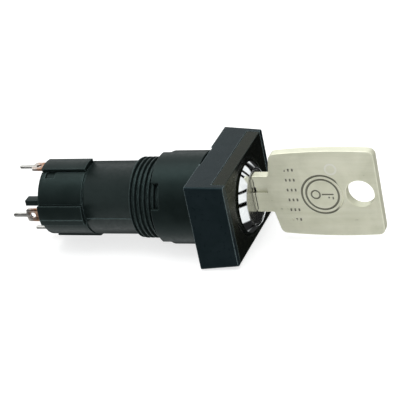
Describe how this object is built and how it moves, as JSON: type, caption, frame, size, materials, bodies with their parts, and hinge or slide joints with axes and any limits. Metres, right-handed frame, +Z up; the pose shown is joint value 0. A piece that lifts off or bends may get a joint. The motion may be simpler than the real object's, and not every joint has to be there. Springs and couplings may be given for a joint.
{
  "type": "selector key switch",
  "caption": "Black panel-mounted key selector switch with a chrome lock ring, a spanner-notched ring nut, solder terminals and its flat nickel key.",
  "frame": {"origin": "on the switch axis, in the plane where the bezel's rear face seats on the panel", "axes": "+Y along the switch axis towards the terminals, +Z up, +X to the right seen from the key side"},
  "size_m": [0.025, 0.0746, 0.0193],
  "materials": {
    "black_plastic": "fine satin",
    "chrome_ring": "polished",
    "zinc_lock": "satin",
    "key_nickel": "satin nickel",
    "brass_works": "bright",
    "terminal_plate": "tinned tip",
    "silver_contact": "bright",
    "works_plastic": "satin",
    "spring_steel": "bright drawn",
    "seal_rubber": "matte"
  },
  "bodies": {
    "housing": {"operator_body": "black_plastic", "face_plate": "black_plastic", "lock_trim_ring": "chrome_ring", "shell_gasket": "seal_rubber", "lock_shell": "zinc_lock", "contact_housing": "black_plastic", "terminal_base": "black_plastic", "common_terminal": "terminal_plate", "normally_closed_terminal": "terminal_plate", "normally_open_terminal": "terminal_plate", "fixed_contacts": "silver_contact", "plunger_spring": "spring_steel"},
    "nut": {"ring_nut": "black_plastic"},
    "rotor": {"lock_rotor": "zinc_lock", "rotor_clip": "spring_steel", "cam_drum": "works_plastic", "detent_balls": "spring_steel", "detent_springs": "spring_steel", "wafer_springs_upper": "spring_steel", "wafer_springs_lower": "spring_steel"},
    "key_body": {"key": "key_nickel"},
    "upper_wafers": {"wafers_upper": "brass_works"},
    "lower_wafers": {"wafers_lower": "brass_works"},
    "pusher": {"plunger": "works_plastic", "contact_bridge": "brass_works", "bridge_washer": "spring_steel", "moving_contacts": "silver_contact"}
  },
  "joints": [
    {"name": "lock_turn", "type": "hinge", "parent": "housing", "child": "rotor", "pos_m": [0, 0, 0], "axis": [0, 1, 0], "range_deg": [0, 90]},
    {"name": "key_slide", "type": "slide", "parent": "rotor", "child": "key_body", "axis": [0, -1, 0], "range_m": [0, 0.018]},
    {"name": "wafer_rise", "type": "slide", "parent": "rotor", "child": "upper_wafers", "axis": [0, 0, 1], "range_m": [0, 0.0004], "deforming": ["wafer_springs_upper"]},
    {"name": "wafer_drop", "type": "slide", "parent": "rotor", "child": "lower_wafers", "axis": [0, 0, -1], "range_m": [0, 0.0004], "deforming": ["wafer_springs_lower"]},
    {"name": "plunger_push", "type": "slide", "parent": "housing", "child": "pusher", "axis": [0, 1, 0], "range_m": [0, 0.0015], "deforming": ["plunger_spring"]},
    {"name": "nut_slide", "type": "slide", "parent": "housing", "child": "nut", "axis": [0, 1, 0], "range_m": [0, 0.005]}
  ],
  "couplings": [
    {"joint": "wafer_rise", "follows": "key_slide", "ratio": 0.022222},
    {"joint": "wafer_drop", "follows": "key_slide", "ratio": 0.022222},
    {"joint": "plunger_push", "follows": "lock_turn", "m_per_rad": 0.0009549}
  ]
}
